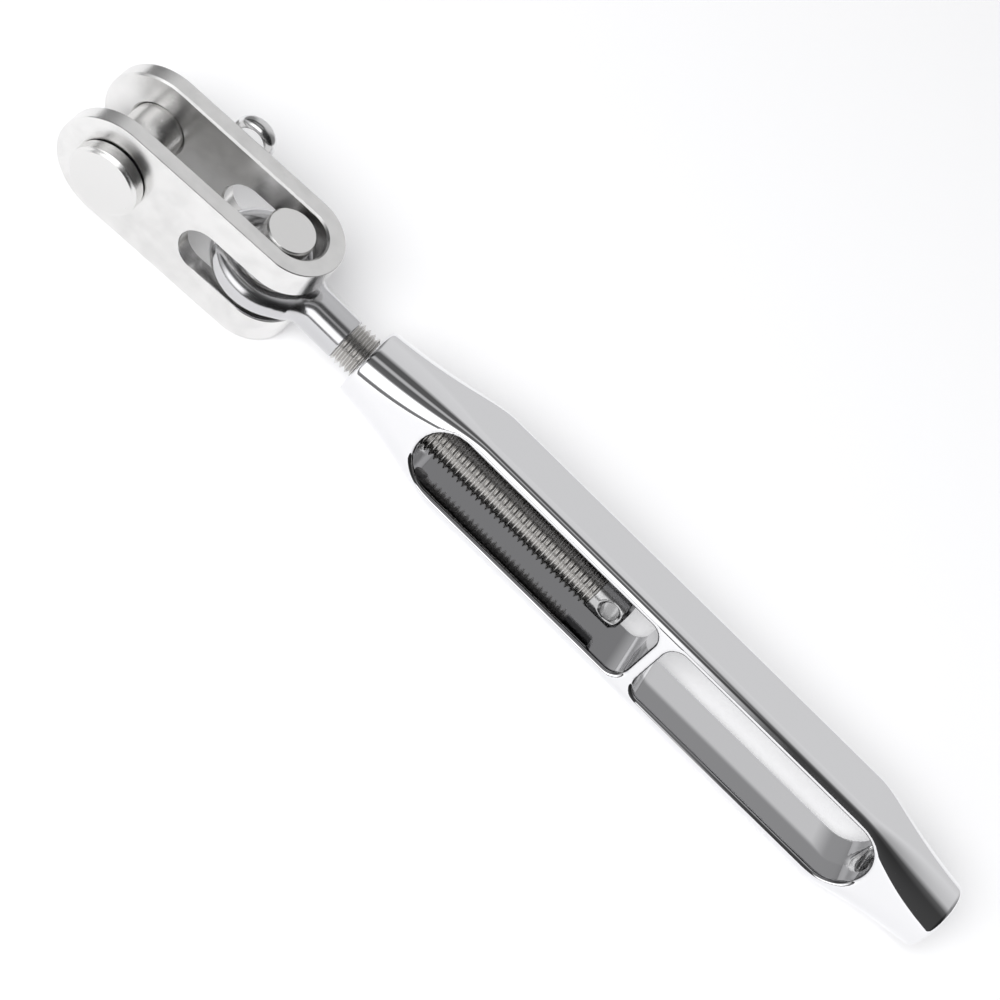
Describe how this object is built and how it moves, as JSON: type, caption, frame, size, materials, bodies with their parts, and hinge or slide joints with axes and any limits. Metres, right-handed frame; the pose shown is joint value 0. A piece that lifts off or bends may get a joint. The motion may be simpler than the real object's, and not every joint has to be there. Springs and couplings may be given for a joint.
{
  "type": "rigging turnbuckle",
  "caption": "Open-body rigging turnbuckle: mirror-finished body with an eye bolt and strap toggle jaw at one end and an empty threaded bore at the other.",
  "frame": {"origin": "centre of the bore mouth in the body's empty end, on the plane of its end face", "axes": "+X along the body and out of its empty end, +Z along the captive pin through the eye, +Y towards the jaw's back plate"},
  "size_m": [0.1902, 0.0247, 0.0224],
  "materials": {
    "mirror_chrome": "mirror polish",
    "polished_steel": "polished stainless steel",
    "satin_steel": "ground and lightly polished stainless steel",
    "pin_steel": "turned stainless steel"
  },
  "bodies": {
    "turnbuckle": {"turnbuckle_body": "mirror_chrome"},
    "screw": {"eye_bolt": "polished_steel"},
    "jaw": {"strap_jaw": "satin_steel"},
    "toggle_pin": {"captive_pin": "pin_steel"},
    "clevis": {"clevis_pin": "pin_steel"},
    "cotter": {"cotter_pin": "pin_steel"}
  },
  "joints": [
    {"name": "take_up", "type": "slide", "parent": "turnbuckle", "child": "screw", "axis": [1, 0, 0], "range_m": [-0.038, 0.0042]},
    {"name": "jaw_swing", "type": "hinge", "parent": "screw", "child": "jaw", "pos_m": [-0.1522, 0, 0], "axis": [0, 0, 1], "range_deg": [-93.5, 86.5]},
    {"name": "toggle_pin_turn", "type": "hinge", "parent": "screw", "child": "toggle_pin", "pos_m": [-0.1522, 0, 0], "axis": [0, 0, 1], "continuous": true},
    {"name": "clevis_pin_turn", "type": "hinge", "parent": "jaw", "child": "clevis", "pos_m": [-0.17945, -0.00167, 0.0005], "axis": [-0.061, 0.9981, 0], "continuous": true},
    {"name": "cotter_slide", "type": "slide", "parent": "clevis", "child": "cotter", "axis": [-0.8371, -0.0512, -0.5446], "range_m": [0, 0.0058]}
  ]
}
